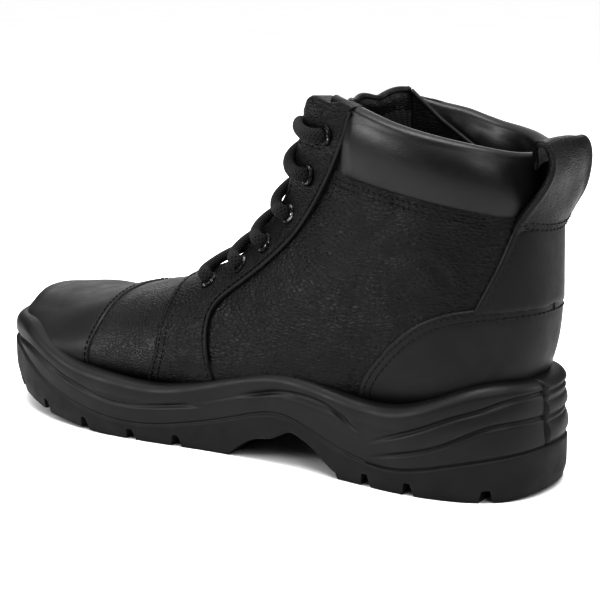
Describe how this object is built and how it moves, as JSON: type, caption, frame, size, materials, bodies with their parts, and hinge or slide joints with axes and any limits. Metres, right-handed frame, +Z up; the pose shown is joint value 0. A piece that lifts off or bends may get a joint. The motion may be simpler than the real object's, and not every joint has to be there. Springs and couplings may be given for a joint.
{
  "type": "fire boot",
  "caption": "Laced ankle-high leather safety boot with a toe cap, padded collar, tongue, rear pull loop and cleated sole.",
  "frame": {"origin": "on the ground under the middle of the boot's length and width, pull loop included", "axes": "+X towards the toe, +Y towards the outer (lateral) side, +Z up"},
  "size_m": [0.2983, 0.1149, 0.1606],
  "materials": {
    "smooth_leather": "smooth semi-gloss",
    "interlining_felt": "felt",
    "foam": "open cell foam",
    "eyelet_metal": "black lacquered, worn rim",
    "grain_leather": "pebbled satin",
    "lining_fabric": "knitted",
    "footbed_foam": "cloth covered foam",
    "stiffener": "matte",
    "board": "matte fibre board",
    "lace_cord": "braided polyester",
    "midsole_polyurethane": "satin moulded",
    "outsole_rubber": "matte moulded",
    "steel": "brushed"
  },
  "bodies": {
    "boot": {"backstay": "smooth_leather", "backstay_interlining": "interlining_felt", "collar_binding": "smooth_leather", "collar_cover_lateral": "smooth_leather", "collar_cover_medial": "smooth_leather", "collar_foam": "foam", "collar_lining": "smooth_leather", "eyelets_lateral": "eyelet_metal", "eyelets_medial": "eyelet_metal", "eyestay_lateral": "interlining_felt", "eyestay_medial": "interlining_felt", "facing_lateral": "grain_leather", "facing_lining": "lining_fabric", "facing_medial": "grain_leather", "heel_counter_cover": "smooth_leather", "heel_stiffener": "stiffener", "insole_board": "board", "lace": "lace_cord", "midsole": "midsole_polyurethane", "outsole": "outsole_rubber", "puncture_plate": "steel", "quarter_interlining_lateral": "interlining_felt", "quarter_interlining_medial": "interlining_felt", "quarter_lateral": "grain_leather", "quarter_lining": "lining_fabric", "quarter_medial": "grain_leather", "shank": "steel", "toe_cap_leather": "smooth_leather", "toe_protector": "steel", "vamp": "grain_leather", "vamp_interlining": "interlining_felt", "vamp_lining": "lining_fabric"},
    "tongue": {"tongue_foam": "foam", "tongue_gusset_lateral": "smooth_leather", "tongue_gusset_medial": "smooth_leather", "tongue_leather": "grain_leather", "tongue_lining": "lining_fabric"},
    "pull_loop": {"pull_loop": "smooth_leather"},
    "footbed": {"footbed": "footbed_foam"}
  },
  "joints": [
    {"name": "tongue_tilt", "type": "hinge", "parent": "boot", "child": "tongue", "pos_m": [0.0389, 0, 0.0567], "axis": [0, -1, 0], "range_deg": [0, 10]},
    {"name": "pull_loop_swing", "type": "hinge", "parent": "boot", "child": "pull_loop", "pos_m": [-0.1404, 0, 0.1095], "axis": [0, -1, 0], "range_deg": [0, 8]},
    {"name": "footbed_lift", "type": "hinge", "parent": "boot", "child": "footbed", "pos_m": [0.1365, 0, 0.04], "axis": [0, 1, 0], "range_deg": [0, 3.5]}
  ]
}
